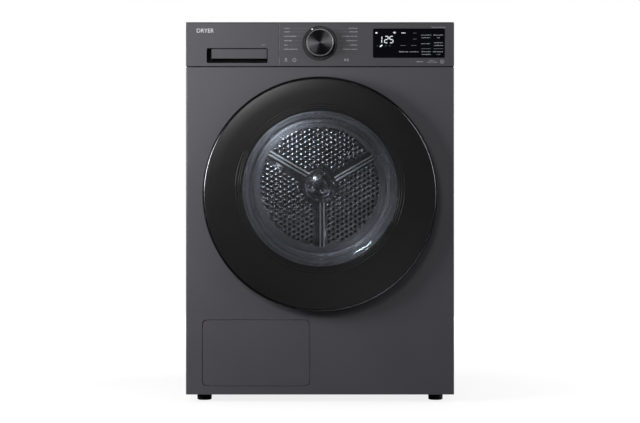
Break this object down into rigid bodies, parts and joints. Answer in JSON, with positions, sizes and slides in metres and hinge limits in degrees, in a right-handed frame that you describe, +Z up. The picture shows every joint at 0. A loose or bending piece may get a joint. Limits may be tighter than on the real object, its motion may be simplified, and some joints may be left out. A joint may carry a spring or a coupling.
{
  "type": "clothes dryer",
  "caption": "Free-standing heat-pump clothes dryer with a round glazed door, a water drawer, a programme knob, a display and a service flap.",
  "frame": {"origin": "on the floor, under the centre of the bounding box", "axes": "+Z up, the front with the door faces -Y, +X is to the right seen from the front"},
  "size_m": [0.6, 0.69, 0.85],
  "materials": {
    "grey_paint": "satin metallic grey paint",
    "fascia_paint": "satin metallic grey paint on plastic",
    "black_plastic": "fine matt",
    "dark_trim": "dark satin chrome",
    "tinted_glass": "dark tinted gloss",
    "clear_glass": "clear",
    "chrome": "bright",
    "knob_metal": "dark spun metal",
    "rubber": "matt",
    "felt": "matt",
    "stainless": "satin",
    "steel": "galvanised",
    "aluminium": "mill finish",
    "grey_plastic": "matt",
    "pale_plastic": "matt",
    "board_green": "satin",
    "print_white": "printed marks and indicator lights"
  },
  "bodies": {
    "cabinet": {"base_tray": "black_plastic", "side_panel_left": "grey_paint", "side_panel_right": "grey_paint", "rear_panel": "grey_paint", "rear_duct_cover": "steel", "top_cover": "grey_paint", "front_panel": "grey_paint", "door_latch_housing": "grey_plastic", "control_fascia": "fascia_paint", "display_glass": "tinted_glass", "knob_bezel": "grey_plastic", "control_board": "board_green", "tank_guide": "pale_plastic", "flap_hinge_bracket": "steel", "hinge_bracket": "steel", "front_bulkhead": "grey_plastic", "lint_filter": "black_plastic", "drum_front_seal": "felt", "rear_bulkhead": "grey_plastic", "rear_bearing": "steel", "drive_belt": "rubber", "motor_housing": "aluminium", "fan_housing": "grey_plastic", "evaporator": "aluminium", "condenser": "aluminium", "exchanger_duct": "grey_plastic", "compressor": "black_plastic", "drain_pump": "grey_plastic", "tank_fill_hose": "rubber", "drain_spigot": "black_plastic", "mains_inlet": "black_plastic"},
    "door": {"door_cover": "tinted_glass", "door_rim": "dark_trim", "door_frame": "black_plastic", "door_back_frame": "black_plastic", "door_glass_bowl": "clear_glass", "door_seal": "rubber", "hinge_leaf": "steel", "latch_hook": "steel"},
    "drawer": {"tank_front": "fascia_paint", "tank_body": "pale_plastic", "tank_cover": "pale_plastic"},
    "knob": {"knob_body": "knob_metal", "knob_trim_ring": "chrome"},
    "drum": {"drum_shell": "stainless", "drum_rear_wall": "stainless", "drum_lifter_1": "pale_plastic", "drum_lifter_2": "pale_plastic", "drum_lifter_3": "pale_plastic", "drum_shaft": "steel"},
    "roller_left": {"support_roller_left": "rubber"},
    "roller_right": {"support_roller_right": "rubber"},
    "motor_rotor": {"motor_pulley": "steel"},
    "idler": {"idler_pulley": "grey_plastic"},
    "fan": {"fan_wheel": "black_plastic"},
    "flap": {"service_flap": "grey_paint"},
    "foot_front_left": {"foot_front_left": "rubber"},
    "foot_front_right": {"foot_front_right": "rubber"},
    "foot_rear_left": {"foot_rear_left": "rubber"},
    "foot_rear_right": {"foot_rear_right": "rubber"}
  },
  "joints": [
    {"name": "door_hinge", "type": "hinge", "parent": "cabinet", "child": "door", "pos_m": [0.243, -0.326, 0.4648], "axis": [0, 0, 1], "range_deg": [0, 115]},
    {"name": "tank_slide", "type": "slide", "parent": "cabinet", "child": "drawer", "axis": [0, -1, 0], "range_m": [0, 0.5]},
    {"name": "knob_turn", "type": "hinge", "parent": "cabinet", "child": "knob", "pos_m": [0, -0.3, 0.8025], "axis": [0, 1, 0], "continuous": true},
    {"name": "drum_spin", "type": "hinge", "parent": "cabinet", "child": "drum", "pos_m": [0, 0, 0.491], "axis": [0, 1, 0], "continuous": true},
    {"name": "roller_left_spin", "type": "hinge", "parent": "cabinet", "child": "roller_left", "pos_m": [-0.17339, 0, 0.24337], "axis": [0, 1, 0], "continuous": true},
    {"name": "roller_right_spin", "type": "hinge", "parent": "cabinet", "child": "roller_right", "pos_m": [0.17339, 0, 0.24337], "axis": [0, 1, 0], "continuous": true},
    {"name": "motor_spin", "type": "hinge", "parent": "cabinet", "child": "motor_rotor", "pos_m": [0.205, 0, 0.125], "axis": [0, 1, 0], "continuous": true},
    {"name": "idler_spin", "type": "hinge", "parent": "cabinet", "child": "idler", "pos_m": [0.13683, 0, 0.1146], "axis": [0, 1, 0], "continuous": true},
    {"name": "fan_spin", "type": "hinge", "parent": "cabinet", "child": "fan", "pos_m": [-0.16, 0, 0.12], "axis": [0, 1, 0], "continuous": true},
    {"name": "flap_hinge", "type": "hinge", "parent": "cabinet", "child": "flap", "pos_m": [-0.247, -0.295, 0.11], "axis": [0, 0, -1], "range_deg": [0, 105]},
    {"name": "foot_front_left_slide", "type": "slide", "parent": "cabinet", "child": "foot_front_left", "axis": [0, 0, 1], "range_m": [-0.015, 0]},
    {"name": "foot_front_right_slide", "type": "slide", "parent": "cabinet", "child": "foot_front_right", "axis": [0, 0, 1], "range_m": [-0.015, 0]},
    {"name": "foot_rear_left_slide", "type": "slide", "parent": "cabinet", "child": "foot_rear_left", "axis": [0, 0, 1], "range_m": [-0.015, 0]},
    {"name": "foot_rear_right_slide", "type": "slide", "parent": "cabinet", "child": "foot_rear_right", "axis": [0, 0, 1], "range_m": [-0.015, 0]}
  ],
  "couplings": [
    {"joint": "roller_left_spin", "follows": "drum_spin", "ratio": -12.727},
    {"joint": "roller_right_spin", "follows": "drum_spin", "ratio": -12.727},
    {"joint": "motor_spin", "follows": "drum_spin", "ratio": 20.635},
    {"joint": "idler_spin", "follows": "drum_spin", "ratio": -13.926}
  ]
}
